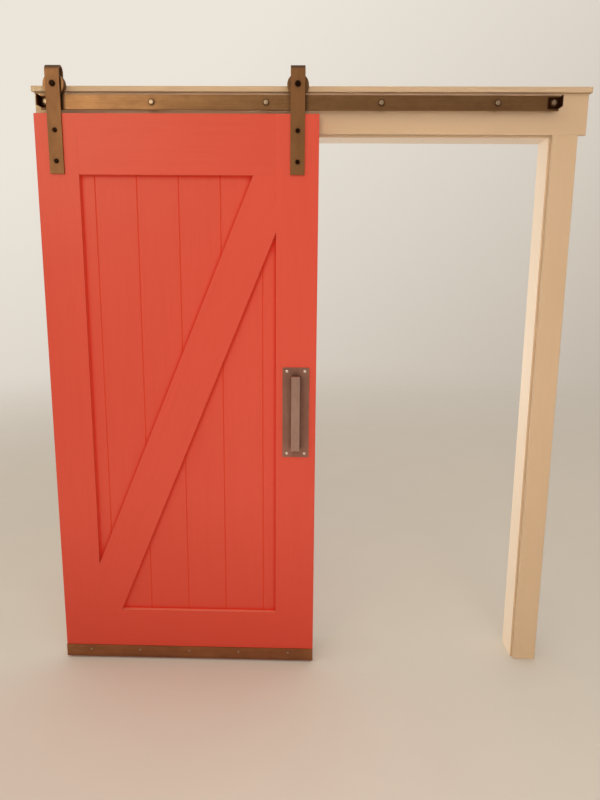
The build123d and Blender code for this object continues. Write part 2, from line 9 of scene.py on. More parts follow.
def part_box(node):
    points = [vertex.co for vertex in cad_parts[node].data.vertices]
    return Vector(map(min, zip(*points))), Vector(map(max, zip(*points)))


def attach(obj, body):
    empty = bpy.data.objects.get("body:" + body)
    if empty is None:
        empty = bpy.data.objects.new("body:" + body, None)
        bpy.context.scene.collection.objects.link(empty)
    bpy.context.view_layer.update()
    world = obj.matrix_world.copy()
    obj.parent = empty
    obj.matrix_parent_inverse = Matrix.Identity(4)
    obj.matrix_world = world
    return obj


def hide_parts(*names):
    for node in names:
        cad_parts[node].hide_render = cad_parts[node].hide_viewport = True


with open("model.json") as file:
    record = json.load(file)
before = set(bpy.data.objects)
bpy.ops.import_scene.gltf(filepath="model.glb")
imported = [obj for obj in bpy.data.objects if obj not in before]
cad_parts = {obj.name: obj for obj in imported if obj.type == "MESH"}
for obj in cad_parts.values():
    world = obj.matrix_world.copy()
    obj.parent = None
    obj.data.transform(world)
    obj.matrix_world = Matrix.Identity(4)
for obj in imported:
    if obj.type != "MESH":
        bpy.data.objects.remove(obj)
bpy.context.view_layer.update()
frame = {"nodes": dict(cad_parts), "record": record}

# Camera, fitted to the photograph: metres and radians in the part's own frame
CAMERA_PLACE = (-0.3741, -2.5830, 1.5937)
CAMERA_YAW = -0.02297
CAMERA_PITCH = 0.19431
CAMERA_ROLL = 0.00836
FOCAL_PIXELS = 671.2
IMAGE_HEIGHT = 800
SENSOR_WIDTH = 36.0
CLIP_NEAR = 0.05
CLIP_FAR = 60.0

# Lamps: place, the point that it faces, width in metres, watts and colour
LAMPS = {
    "key": ((0.7, -3.3, 2.3), (-0.6, 0.0, 1.0), 1.5, 19.0, (0.92, 0.88, 1.0)),
    "fill": ((-0.4, -2.75, 1.55), (-0.6, 0.0, 1.2), 0.3, 11.0, (1.0, 0.87, 0.69)),
    "overhead": ((-1.6, -3.3, 3.9), (-0.9, 0.0, 1.6), 2.6, 8.5, (1.0, 0.77, 0.32)),
    "glint": ((-2.5, -2.7, 2.9), (-0.9, 0.0, 1.8), 2.2, 34.0, (1.0, 0.83, 0.60)),
    "daylight": ((-0.9, 2.3, 1.1), (0.4, 0.06, 1.3), 1.5, 170.0, (0.68, 0.80, 1.0)),
}
OVERHEAD_SPREAD = math.radians(95)

# Sky and floor
SKY_BRIGHT = (1.0, 0.93, 0.83)
SKY_DIM = (0.38, 0.31, 0.235)
SKY_TOWARDS = (-0.50, 0.45, 0.74)
SKY_RANGE = (-0.3, 0.7)
SKY_STRENGTH = 0.84
FLOOR_COLOUR = (0.74, 0.70, 0.65)
FLOOR_SHADE = 0.95
FLOOR_ROUGHNESS = 0.8
FLOOR_SPECULAR = 0.2
FLOOR_HALF = 14.0
FLOOR_FADE = (2.4, 9.0)

# Colours, as linear red, green and blue
RAIL_BROWN = (0.34, 0.19, 0.092)
RAIL_DARK = (0.16, 0.078, 0.034)
STRAP_BROWN = (0.28, 0.132, 0.051)
STRAP_DARK = (0.16, 0.078, 0.030)
STRIP_BROWN = (0.38, 0.16, 0.070)
STRIP_DARK = (0.15, 0.062, 0.03)
PULL_BROWN = (0.52, 0.28, 0.225)
PULL_DARK = (0.25, 0.11, 0.080)
BAR_STEEL = (0.62, 0.41, 0.35)
BAR_DARK = (0.38, 0.23, 0.19)
WASHER_BROWN = (0.20, 0.11, 0.055)
SPACER_BROWN = (0.16, 0.10, 0.065)
SPACER_DARK = (0.08, 0.045, 0.03)
WHEEL_BROWN = (0.28, 0.15, 0.075)
PLATED = (0.92, 0.80, 0.72)
LAG_STEEL = (0.60, 0.46, 0.33)
DULL_STEEL = (0.46, 0.31, 0.22)
TURNED_STEEL = (0.52, 0.49, 0.45)
STOP_BROWN = (0.030, 0.009, 0.003)
BLACKENED = (0.016, 0.007, 0.004)
BLACK_RUBBED = (0.036, 0.018, 0.010)
# Painted brown highlight for the edges of blackened steel
BLACK_EDGE_HIGHLIGHT = (0.16, 0.085, 0.045)
BLACK_MIRRORED = (0.60, 0.36, 0.24, 1.0)

# The five tones of a paint: in the open; shaded, for random clouds and grain and for the painted shade at
# the foot; a painted shade in seams and corners; a painted tone in the narrowest grooves and corners,
# lighter on the coral and darker on the header; and a painted highlight on faces turned up
CORAL = ((0.80, 0.108, 0.070), (0.62, 0.052, 0.028), (0.68, 0.016, 0.005), (0.84, 0.108, 0.040),
         (0.88, 0.27, 0.19))
CREAM = ((0.59, 0.435, 0.28), (0.49, 0.345, 0.20), (0.49, 0.345, 0.20), (0.59, 0.435, 0.28),
         (0.62, 0.46, 0.30))
# The header's seam tone is a wide painted shade below its cap
HEADER = ((0.59, 0.435, 0.28), (0.49, 0.345, 0.20), (0.40, 0.27, 0.155), (0.49, 0.345, 0.20),
          (0.62, 0.46, 0.30))

# Noises: waves per metre along and across the grain, detail, roughness and distortion
WOOD_GRAIN = (3.0, 60.0, 5.0, 0.6, 1.2)
BRUSH_MARKS = (14.0, 700.0, 2.0, 0.6, 0.0)
PAINT_PEEL = (260.0, 260.0, 1.0, 0.5, 0.0)
PAINT_CLOUDS = (1.2, 2.6, 2.0, 0.5, 0.0)
STEEL_STREAKS = (5.0, 420.0, 5.0, 0.7, 0.0)
STEEL_LINES = (40.0, 2600.0, 2.0, 0.6, 0.0)
STEEL_PATCHES = (9.0, 16.0, 6.0, 0.7, 0.0)
STEEL_SPECKS = (420.0, 420.0, 3.0, 0.6, 0.0)
BLACK_PATCHES = (220.0, 220.0, 4.0, 0.6, 0.0)
BLACK_GRIT = (1800.0, 1800.0, 2.0, 0.5, 0.0)
METAL_CLOUDS = (180.0, 180.0, 3.0, 0.5, 0.0)
METAL_LINES = (2500.0, 2500.0, 2.0, 0.5, 0.0)
FLOOR_CLOUDS = (3.0, 3.0, 4.0, 0.5, 0.0)

# Tints: where in its mask a tint starts and where it is full, and how much it then mixes in
CLOUD_TINT = (0.30, 0.70, 0.16)
GRAIN_TINT = (0.45, 0.75, 0.14)
# Painted tone in narrow grooves and corners: lighter on the coral, darker on the header
GROOVE_PAINTED_TINT = (0.95, 0.60, 1.0)
# Painted highlight on faces turned up
TOP_PAINTED_HIGHLIGHT_TINT = (0.50, 0.90, 0.70)
PATCH_TINT = (0.40, 0.68, 0.42)
STREAK_TINT = (0.42, 0.66, 0.34)
SPECK_TINT = (0.60, 0.75, 0.50)
# Painted highlight along steel edges
EDGE_HIGHLIGHT_TINT = (0.99, 0.80, 1.0)
# Painted shade in the corners of steel
CORNER_PAINTED_SHADE_TINT = (0.95, 0.35, 0.85)
RUBBED_TINT = (0.45, 0.75, 0.60)
# Painted brown highlight along blackened edges
BLACK_EDGE_HIGHLIGHT_TINT = (0.99, 0.80, 0.70)
WORN_TINT = (0.40, 0.75, 0.50)

# Where painted shade at the foot, painted shade in seams and a painted dark reflection on steel faces
# turned up start and are full, and the span of a noise that varies the roughness
FOOT_PAINTED_SHADE_RANGE = (0.7, 0.0)
SEAM_PAINTED_SHADE_RANGE = (0.86, 0.56)
UPWARD_PAINTED_SHADE_RANGE = (0.25, 0.65)
GLOSS_RANGE = (0.3, 0.7)

# A painted edge highlight, painted shade in corners and on faces turned up, and wear, as shares of the
# colours that they are mixed from
EDGE_HIGHLIGHT_LIFT = 1.5
PAINTED_SHADE_DARKNESS = 0.22
WORN_SHADE = 0.6

# Roughness and mirror shares of the finishes
PAINT_ROUGHNESS = (0.29, 0.43)
PAINT_SPECULAR = 0.26
STEEL_ROUGHENING = 0.12
BLACK_ROUGHNESS = (0.34, 0.52)
BLACK_SPECULAR = 0.12
BLACK_METAL = 0.7
METAL_ROUGHENING = 0.14

# Depths of surface marks, softened edges and the width of a groove, in metres
CORAL_DEPTH = 0.00018
CREAM_DEPTH = 0.00006
BRUSH_DEPTH = 0.00003
PEEL_DEPTH = 0.00004
STREAK_DEPTH = 0.00003
LINE_DEPTH = 0.00001
SPECK_DEPTH = 0.00001
GRIT_DEPTH = 0.00002
TURNED_DEPTH = 0.000008
PAINT_EDGE = 0.0008
STEEL_EDGE = 0.0006
BLACK_EDGE_RADIUS = 0.0005
METAL_EDGE = 0.0003
# Radii of the edge masks for painted highlights on steel and blackened steel
STEEL_HIGHLIGHT_RADIUS = 0.0012
BLACK_HIGHLIGHT_RADIUS = 0.0008
# Reach of the painted tone in narrow grooves and corners
GROOVE_WIDTH = 0.003

# Samples for softened edges, rubbed edges and corners
BEVEL_SAMPLES = 4
RUB_SAMPLES = 6
CORNER_SAMPLES = 8

# Directions that a grain or brush can follow
ALONG_X = (0.0, 0.0, 0.0)
ALONG_Z = (0.0, math.pi / 2, 0.0)
brace_low, brace_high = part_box("diagonal_brace")
ALONG_BRACE = (0.0, math.atan2(brace_high.z - brace_low.z, brace_high.x - brace_low.x), 0.0)

# Paints: tones, direction and depth of the grain, share of painted shade at the foot, and the reach and
# share of painted shade in seams and corners
PAINTS = {
    "coral_plank": (CORAL, ALONG_Z, CORAL_DEPTH, 0.75, 0.024, 0.9),
    "coral_upright": (CORAL, ALONG_Z, CORAL_DEPTH, 0.75, 0.006, 0.1),
    "coral_level": (CORAL, ALONG_X, CORAL_DEPTH, 0.75, 0.006, 0.1),
    "coral_slant": (CORAL, ALONG_BRACE, CORAL_DEPTH, 0.75, 0.006, 0.1),
    "cream_upright": (CREAM, ALONG_Z, CREAM_DEPTH, 0.0, 0.008, 0.08),
    "cream_level": (CREAM, ALONG_X, CREAM_DEPTH, 0.0, 0.008, 0.08),
    # The header's wide seam reach paints shade below its cap
    "header": (HEADER, ALONG_X, CREAM_DEPTH, 0.0, 0.03, 0.7),
}

# Brushed steels: colour, dark scale, direction, roughness, metal share, reach of the painted shade in
# corners, and share of a painted dark reflection on faces turned up
STEELS = {
    "rail": (RAIL_BROWN, RAIL_DARK, ALONG_X, 0.36, 0.9, 0.022, 0.0),
    "strap": (STRAP_BROWN, STRAP_DARK, ALONG_Z, 0.46, 0.55, 0.022, 0.8),
    "strip": (STRIP_BROWN, STRIP_DARK, ALONG_X, 0.40, 0.9, 0.022, 0.0),
    "pull": (PULL_BROWN, PULL_DARK, ALONG_Z, 0.34, 0.9, 0.055, 0.0),
    "bar": (BAR_STEEL, BAR_DARK, ALONG_Z, 0.34, 0.9, 0.022, 0.0),
    "washer": (WASHER_BROWN, SPACER_DARK, ALONG_X, 0.46, 0.9, 0.004, 0.0),
    "spacer": (SPACER_BROWN, SPACER_DARK, ALONG_X, 0.40, 0.9, 0.022, 0.0),
}

# Blackened steels: colour
BLACKS = {
    "stop": STOP_BROWN,
    "black": BLACKENED,
}

# Plated and turned metals: colour, roughness and metal share
METALS = {
    "bright": (PLATED, 0.26, 0.45),
    "lag": (LAG_STEEL, 0.34, 1.0),
    "dull": (DULL_STEEL, 0.34, 0.8),
    "wheel": (WHEEL_BROWN, 0.36, 1.0),
    "bearing": (TURNED_STEEL, 0.26, 1.0),
}

# The nodes that wear each finish
WEARERS = {
    "coral_plank": ("plank_1", "plank_2", "plank_3", "plank_4", "plank_5", "plank_6"),
    "coral_upright": ("left_stile", "right_stile"),
    "coral_level": ("top_rail", "bottom_rail"),
    "coral_slant": ("diagonal_brace",),
    "cream_upright": ("left_jamb", "right_jamb", "left_casing", "right_casing"),
    "cream_level": ("head_jamb", "header_cap"),
    "header": ("header_board",),
    "rail": ("rail",),
    "strap": ("left_hanger_strap", "right_hanger_strap"),
    "strip": ("foot_strip",),
    "pull": ("pull_plate",),
    "bar": ("pull_bar",),
    "washer": ("lag_washers",),
    "spacer": ("rail_spacers",),
    "stop": ("left_stop", "right_stop", "guide_bracket"),
    "black": ("hanger_bolts", "hanger_washers", "hanger_nuts", "axle_bolts"),
    "bright": ("pull_screws", "guide_screws"),
    "lag": ("lag_bolts",),
    "dull": ("strip_screws",),
    "wheel": ("left_wheel", "right_wheel"),
    "bearing": ("left_wheel_bearing", "right_wheel_bearing", "axle_sleeves", "axle_washers"),
}

# Lag bolts, in metres and radians
LAG_FLATS = 0.0143
LAG_HEAD_HEIGHT = 0.0046
LAG_SHANK = 0.0095
LAG_CORE = 0.0068
LAG_PITCH = 0.0036
LAG_TAPER = 0.013
LAG_THREAD_START = 0.001
LAG_FIRST_TWIST = 0.4
LAG_TWIST_STEP = 0.7

# A hexagon head's crown, as shares of the width over its flats and of the crown, and its slope
CROWN_SHARE = 0.47
CROWN_RINGS = (0.4, 0.8, 0.97)
CROWN_SLOPE = 0.55

# Screws: body, columns, rows, height of the head and radius of the shank
SCREWS = {
    "pull_screws": ("door", 2, 2, 0.0026, 0.0024),
    "strip_screws": ("door", 5, 1, 0.0022, 0.0020),
    "guide_screws": ("frame", 1, 2, 0.0022, 0.0021),
}
PULL_HEAD = 0.011
SCREW_PITCH = 0.0017
SCREW_FIRST_TWIST = 0.3
SCREW_TWIST_STEP = 0.5

# A screw's core and taper, as shares of its shank's radius, and a thread's ridge and tip
SCREW_CORE = 0.72
SCREW_TAPER = 4
THREAD_RIDGE = 0.32
THREAD_TIP = 0.08

# A screw head's dome and cross recess, as shares of its radius and height
DOME_DROP = 0.7
DOME_POWER = 2.4
CROSS_ARM = 0.52
CROSS_WIDTH = 0.22
CROSS_DEPTH = 0.75
CROSS_SOFTNESS = 0.5
CROSS_RISE = 0.45

# Steps round a shank and a head, along a thread's turn and from a dome's middle to its rim
ROUND_STEPS = 28
HEAD_STEPS = 72
THREAD_STEPS = 8
DOME_STEPS = 16
SMOOTH_ANGLE = math.radians(35)


def add(tree, kind, **inputs):
    """Add a shader node. An input given as a socket is linked, and any other value is set."""
    made = tree.nodes.new(kind)
    for key, value in inputs.items():
        socket = made.inputs[key]
        if isinstance(value, bpy.types.NodeSocket):
            tree.links.new(value, socket)
        else:
            socket.default_value = value
    return made


def new_material(name):
    """A material with an empty tree but for its shader and output."""
    material = bpy.data.materials.new(name)
    material.use_nodes = True
    tree = material.node_tree
    tree.nodes.clear()
    shader = add(tree, "ShaderNodeBsdfPrincipled")
    output = add(tree, "ShaderNodeOutputMaterial")
    tree.links.new(shader.outputs["BSDF"], output.inputs["Surface"])
    return material, tree, shader


def noise(tree, rotation, along, across, detail, roughness, distortion):
    """A noise in object coordinates, turned to a grain's direction and stretched along it."""
    place = add(tree, "ShaderNodeTexCoord")
    turn = add(tree, "ShaderNodeMapping", Vector=place.outputs["Object"], Rotation=rotation)
    stretch = add(tree, "ShaderNodeMapping", Vector=turn.outputs["Vector"], Scale=(along, across, across))
    made = add(tree, "ShaderNodeTexNoise", Vector=stretch.outputs["Vector"], Scale=1.0, Detail=detail,
               Roughness=roughness, Distortion=distortion)
    return made.outputs["Fac"]


def spread(tree, value, low_in, high_in, low_out, high_out):
    """The value carried from one range to another, and held inside it."""
    made = add(tree, "ShaderNodeMapRange", Value=value)
    made.inputs["From Min"].default_value = low_in
    made.inputs["From Max"].default_value = high_in
    made.inputs["To Min"].default_value = low_out
    made.inputs["To Max"].default_value = high_out
    return made.outputs["Result"]


def blend_colour(tree, factor, first, second):
    """A mix of two colours by a factor, where each colour is a socket or three numbers."""
    made = tree.nodes.new("ShaderNodeMix")
    made.data_type = "RGBA"
    for socket, value in ((made.inputs[0], factor), (made.inputs[6], first), (made.inputs[7], second)):
        if isinstance(value, bpy.types.NodeSocket):
            tree.links.new(value, socket)
        else:
            socket.default_value = (*value, 1.0)
    return made.outputs[2]


def tint(tree, tone, colour, mask, start, full, share):
    """The tone with some of a colour mixed in, from none where the mask is at start to a share at full."""
    return blend_colour(tree, spread(tree, mask, start, full, 0.0, share), tone, colour)


def vary_roughness(tree, shader, mask, low, high):
    """Let a noise vary the roughness between two values."""
    tree.links.new(spread(tree, mask, *GLOSS_RANGE, low, high), shader.inputs["Roughness"])


def bumps(tree, shader, layers, edge_radius):
    """Stack bump layers, each (height, depth in metres), over softly rounded edges."""
    normal = add(tree, "ShaderNodeBevel", Radius=edge_radius)
    normal.samples = BEVEL_SAMPLES
    result = normal.outputs["Normal"]
    for height, depth in layers:
        bump = add(tree, "ShaderNodeBump", Height=height, Distance=depth, Strength=1.0, Normal=result)
        result = bump.outputs["Normal"]
    tree.links.new(result, shader.inputs["Normal"])


def openness(tree, distance):
    """One in the open, falling towards nothing in corners and creases, where painted shade and painted
    groove tones are mixed in.
    """
    made = add(tree, "ShaderNodeAmbientOcclusion", Distance=distance)
    made.samples = CORNER_SAMPLES
    return made.outputs["AO"]


def flatness(tree, radius):
    """One on a flat face, falling along its edges, where painted highlights are mixed in."""
    place = add(tree, "ShaderNodeNewGeometry")
    rounded = add(tree, "ShaderNodeBevel", Radius=radius)
    rounded.samples = RUB_SAMPLES
    match = tree.nodes.new("ShaderNodeVectorMath")
    match.operation = "DOT_PRODUCT"
    tree.links.new(place.outputs["True Normal"], match.inputs[0])
    tree.links.new(rounded.outputs["Normal"], match.inputs[1])
    return match.outputs["Value"]


def facing_up(tree):
    """How far a surface faces upwards, from minus one to one."""
    place = add(tree, "ShaderNodeNewGeometry")
    return add(tree, "ShaderNodeSeparateXYZ", Vector=place.outputs["True Normal"]).outputs["Z"]


def height_above_floor(tree):
    """How high a point of a node is with the door at rest, in metres."""
    place = add(tree, "ShaderNodeTexCoord")
    return add(tree, "ShaderNodeSeparateXYZ", Vector=place.outputs["Object"]).outputs["Z"]


def painted_wood(name, tones, rotation, grain_depth, foot_painted_shade_share, seam_painted_shade_reach, seam_painted_shade_share):
    """Satin paint brushed over planed boards, with painted shade towards the foot and in seams, a painted
    tone in the narrowest corners, and a painted highlight on faces turned up.
    """
    colour, shade, seam_painted_shade, groove_painted_tone, top_painted_highlight = tones
    material, tree, shader = new_material(name)
    grain = noise(tree, rotation, *WOOD_GRAIN)
    brush = noise(tree, rotation, *BRUSH_MARKS)
    peel = noise(tree, rotation, *PAINT_PEEL)
    clouds = noise(tree, rotation, *PAINT_CLOUDS)
    tone = tint(tree, colour, shade, clouds, *CLOUD_TINT)
    tone = tint(tree, tone, shade, grain, *GRAIN_TINT)
    # Painted shade towards the foot, where less light falls
    tone = tint(tree, tone, shade, height_above_floor(tree), *FOOT_PAINTED_SHADE_RANGE, foot_painted_shade_share)
    # Painted shade in seams and along the boards' raised edges
    tone = tint(tree, tone, seam_painted_shade, openness(tree, seam_painted_shade_reach), *SEAM_PAINTED_SHADE_RANGE, seam_painted_shade_share)
    # Painted tone in narrow grooves and corners, lighter on the coral to soften their real shading
    tone = tint(tree, tone, groove_painted_tone, openness(tree, GROOVE_WIDTH), *GROOVE_PAINTED_TINT)
    # Painted highlight on faces turned up
    tone = tint(tree, tone, top_painted_highlight, facing_up(tree), *TOP_PAINTED_HIGHLIGHT_TINT)
    tree.links.new(tone, shader.inputs["Base Color"])
    shader.inputs["Specular IOR Level"].default_value = PAINT_SPECULAR
    vary_roughness(tree, shader, brush, *PAINT_ROUGHNESS)
    bumps(tree, shader, ((grain, grain_depth), (brush, BRUSH_DEPTH), (peel, PEEL_DEPTH)), PAINT_EDGE)
    return material


def brushed_steel(name, colour, dark, rotation, roughness, metal, corner_painted_shade_reach, upward_painted_shade_share):
    """Flat steel bar with drawn streaks and brown patches, a painted highlight along its edges, painted
    shade in its corners, and a painted dark reflection on faces turned up, such as a bend.
    """
    material, tree, shader = new_material(name)
    streaks = noise(tree, rotation, *STEEL_STREAKS)
    lines = noise(tree, rotation, *STEEL_LINES)
    patches = noise(tree, rotation, *STEEL_PATCHES)
    specks = noise(tree, rotation, *STEEL_SPECKS)
    edge_painted_highlight = tuple(min(1.0, EDGE_HIGHLIGHT_LIFT * c) for c in colour)
    painted_shade_tone = tuple(PAINTED_SHADE_DARKNESS * c for c in dark)
    tone = tint(tree, colour, dark, patches, *PATCH_TINT)
    tone = tint(tree, tone, dark, streaks, *STREAK_TINT)
    tone = tint(tree, tone, dark, specks, *SPECK_TINT)
    # Painted highlight along the edges
    tone = tint(tree, tone, edge_painted_highlight, flatness(tree, STEEL_HIGHLIGHT_RADIUS), *EDGE_HIGHLIGHT_TINT)
    # Painted shade in corners
    tone = tint(tree, tone, painted_shade_tone, openness(tree, corner_painted_shade_reach), *CORNER_PAINTED_SHADE_TINT)
    # Painted dark reflection on faces turned up, such as the strap's bend
    if upward_painted_shade_share:
        tone = tint(tree, tone, painted_shade_tone, facing_up(tree), *UPWARD_PAINTED_SHADE_RANGE, upward_painted_shade_share)
    tree.links.new(tone, shader.inputs["Base Color"])
    shader.inputs["Metallic"].default_value = metal
    vary_roughness(tree, shader, patches, roughness, roughness + STEEL_ROUGHENING)
    bumps(tree, shader, ((streaks, STREAK_DEPTH), (lines, LINE_DEPTH), (specks, SPECK_DEPTH)), STEEL_EDGE)
    return material


def blackened_steel(name, colour):
    """Blackened steel, a little lighter in patches, with a painted brown highlight along its edges."""
    material, tree, shader = new_material(name)
    patches = noise(tree, ALONG_X, *BLACK_PATCHES)
    grit = noise(tree, ALONG_X, *BLACK_GRIT)
    tone = tint(tree, colour, BLACK_RUBBED, patches, *RUBBED_TINT)
    # Painted brown highlight along the edges
    tone = tint(tree, tone, BLACK_EDGE_HIGHLIGHT, flatness(tree, BLACK_HIGHLIGHT_RADIUS), *BLACK_EDGE_HIGHLIGHT_TINT)
    tree.links.new(tone, shader.inputs["Base Color"])
    shader.inputs["Metallic"].default_value = BLACK_METAL
    shader.inputs["Specular IOR Level"].default_value = BLACK_SPECULAR
    shader.inputs["Specular Tint"].default_value = BLACK_MIRRORED
    vary_roughness(tree, shader, patches, *BLACK_ROUGHNESS)
    bumps(tree, shader, ((grit, GRIT_DEPTH),), BLACK_EDGE_RADIUS)
    return material


def turned_metal(name, colour, roughness, metal):
    """Plated or turned steel with fine marks, duller in patches."""
    material, tree, shader = new_material(name)
    clouds = noise(tree, ALONG_X, *METAL_CLOUDS)
    lines = noise(tree, ALONG_X, *METAL_LINES)
    worn = tuple(WORN_SHADE * c for c in colour)
    tree.links.new(tint(tree, colour, worn, clouds, *WORN_TINT), shader.inputs["Base Color"])
    shader.inputs["Metallic"].default_value = metal
    vary_roughness(tree, shader, clouds, roughness, roughness + METAL_ROUGHENING)
    bumps(tree, shader, ((lines, TURNED_DEPTH),), METAL_EDGE)
    return material


def make_materials():
    """Every finish, by its name."""
    made = {name: painted_wood(name, *values) for name, values in PAINTS.items()}
    made.update({name: brushed_steel(name, *values) for name, values in STEELS.items()})
    made.update({name: blackened_steel(name, colour) for name, colour in BLACKS.items()})
    made.update({name: turned_metal(name, *values) for name, values in METALS.items()})
    return made


def dress_nodes(materials):
    """Put each node's finish in its material slot."""
    for finish, nodes in WEARERS.items():
        for node in nodes:
            for slot in frame["nodes"][node].material_slots:
                slot.material = materials[finish]


def finish_of(node):
    """The finish that a node wears."""
    return next(finish for finish, nodes in WEARERS.items() if node in nodes)


def skin(rings):
    """A mesh over rings of points, each ring the same length, with a fan over both ends."""
    maker = bmesh.new()
    rows = [[maker.verts.new(point) for point in ring] for ring in rings]
    for one, two in zip(rows, rows[1:]):
        for i in range(len(one)):
            j = (i + 1) % len(one)
            maker.faces.new((one[i], one[j], two[j], two[i]))
    for row in (rows[0], rows[-1]):
        middle = maker.verts.new(sum((v.co for v in row), Vector()) / len(row))
        for i in range(len(row)):
            maker.faces.new((row[i], row[(i + 1) % len(row)], middle))
    bmesh.ops.recalc_face_normals(maker, faces=maker.faces)
    mesh = bpy.data.meshes.new("skin")
    maker.to_mesh(mesh)
    maker.free()
    return mesh


def turned(x, z, y, radius, angle):
    """A point at a radius and angle round an axis that runs front to back."""
    return Vector((x + radius * math.cos(angle), y, z + radius * math.sin(angle)))


def angles_round(steps):
    """Evenly spaced angles of one turn."""
    return [2 * math.pi * k / steps for k in range(steps)]


def circle(x, z, y, radius, steps):
    """A ring of points round an axis that runs front to back."""
    return [turned(x, z, y, radius, angle) for angle in angles_round(steps)]


def thread_rings(x, z, y_start, y_end, core, crest, pitch, taper_length):
    """Rings along a screw thread, whose last stretch tapers to a point."""
    rings = []
    steps = int((y_end - y_start) / pitch * THREAD_STEPS)
    for i in range(steps + 1):
        y = y_start + (y_end - y_start) * i / steps
        slimmer = min(1.0, max(THREAD_TIP, (y_end - y) / taper_length))
        ring = []
        for k, angle in enumerate(angles_round(ROUND_STEPS)):
            phase = (y / pitch - k / ROUND_STEPS) % 1.0
            ridge = max(0.0, 1.0 - abs(phase - 0.5) / THREAD_RIDGE)
            ring.append(turned(x, z, y, (core + (crest - core) * ridge) * slimmer, angle))
        rings.append(ring)
    return rings


def hex_radius(flats, angle):
    """How far a hexagon's side is from its middle in a direction."""
    return flats / 2 / math.cos((angle % (math.pi / 3)) - math.pi / 6)


def hex_head_rings(x, z, y_front, y_back, flats, twist):
    """Rings over a forged hexagon head with its corners turned off."""
    crown = CROWN_SHARE * flats
    rings = [circle(x, z, y_front, crown * part, HEAD_STEPS) for part in CROWN_RINGS]
    shoulder = []
    skirt = []
    for angle in angles_round(HEAD_STEPS):
        reach = hex_radius(flats, angle - twist)
        drop = (reach - CROWN_RINGS[-1] * crown) * CROWN_SLOPE
        shoulder.append(turned(x, z, y_front + drop, reach, angle))
        skirt.append(turned(x, z, y_back, reach, angle))
    return rings + [shoulder, skirt]


def cross_depth(x, z, radius, height):
    """How deep a cross recess is at a point of a screw's head, measured from the head's middle."""
    arm_length = CROSS_ARM * radius
    arm_width = CROSS_WIDTH * radius
    soft = CROSS_SOFTNESS * arm_width
    deepest = 0.0
    for along, across in ((x, z), (z, x)):
        inside = min((arm_width / 2 - abs(across)) / soft, (arm_length - abs(along)) / soft) + 0.5
        deepest = max(deepest, min(1.0, max(0.0, inside)))
    rise = CROSS_RISE * math.hypot(x, z) / arm_length
    return CROSS_DEPTH * height * deepest * max(0.0, 1.0 - rise)


def cross_head_rings(x, z, y_front, height, radius, twist):
    """Rings over a domed head with a cross recess, from its middle out and round its edge."""
    rings = []
    for i in range(1, DOME_STEPS + 1):
        part = i / DOME_STEPS
        dome = y_front + height * DOME_DROP * part ** DOME_POWER
        ring = []
        for angle in angles_round(HEAD_STEPS):
            across = radius * part * math.cos(angle - twist)
            up = radius * part * math.sin(angle - twist)
            ring.append(turned(x, z, dome + cross_depth(across, up, radius, height), radius * part, angle))
        rings.append(ring)
    rings.append(circle(x, z, y_front + height, radius, HEAD_STEPS))
    return rings


def join_fasteners(name, node, body, meshes, materials):
    """One piece of several meshes, standing for a node of fasteners."""
    maker = bmesh.new()
    for mesh in meshes:
        maker.from_mesh(mesh)
        bpy.data.meshes.remove(mesh)
    joined = bpy.data.meshes.new(name)
    maker.to_mesh(joined)
    maker.free()
    joined.polygons.foreach_set("use_smooth", [True] * len(joined.polygons))
    joined.set_sharp_from_angle(angle=SMOOTH_ANGLE)
    joined.materials.append(materials[finish_of(node)])
    piece = bpy.data.objects.new(name, joined)
    bpy.context.scene.collection.objects.link(piece)
    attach(piece, body)
    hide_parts(node)


def span_at(node, x, z, reach):
    """The front and back of a node near a point of its face."""
    ys = [v.co.y for v in frame["nodes"][node].data.vertices
          if abs(v.co.x - x) < reach and abs(v.co.z - z) < reach]
    return min(ys), max(ys)


def add_lag_bolts(materials):
    """The lag bolts, with turned hexagon heads and wood threads."""
    meshes = []
    lags = [mount["pos_m"] for mount in frame["record"]["mounts"] if mount["name"].startswith("wall_lag")]
    for i, (x, _, z) in enumerate(lags):
        y_front, y_end = span_at("lag_bolts", x, z, LAG_FLATS)
        y_seat = y_front + LAG_HEAD_HEIGHT
        twist = LAG_FIRST_TWIST + LAG_TWIST_STEP * i
        shank = [circle(x, z, y, LAG_SHANK / 2, ROUND_STEPS) for y in (y_seat, LAG_THREAD_START)]
        thread = thread_rings(x, z, LAG_THREAD_START, y_end, LAG_CORE / 2, LAG_SHANK / 2, LAG_PITCH,
                              LAG_TAPER)
        meshes.append(skin(hex_head_rings(x, z, y_front, y_seat, LAG_FLATS, twist)))
        meshes.append(skin(shank + thread))
    join_fasteners("lag_bolt_set", "lag_bolts", "frame", meshes, materials)


def screw_meshes(node, x, z, head_radius, head_height, shank_radius, twist):
    """The head and thread of a cross-recessed screw at a point of a node's face."""
    y_front, y_end = span_at(node, x, z, head_radius)
    head = cross_head_rings(x, z, y_front, head_height, head_radius, twist)
    thread = thread_rings(x, z, y_front + head_height, y_end, SCREW_CORE * shank_radius, shank_radius,
                          SCREW_PITCH, SCREW_TAPER * shank_radius)
    return [skin(head), skin(thread)]


def head_radius_of(low, high, columns, rows):
    """Half a head's width, which is also that of a box round one line of screws."""
    if rows == 1:
        return (high.z - low.z) / 2
    if columns == 1:
        return (high.x - low.x) / 2
    return PULL_HEAD / 2


def evenly(low, high, margin, count):
    """Places from one end of a span to the other, each end a margin inside it."""
    return [low + margin + (high - low - 2 * margin) * i / max(1, count - 1) for i in range(count)]


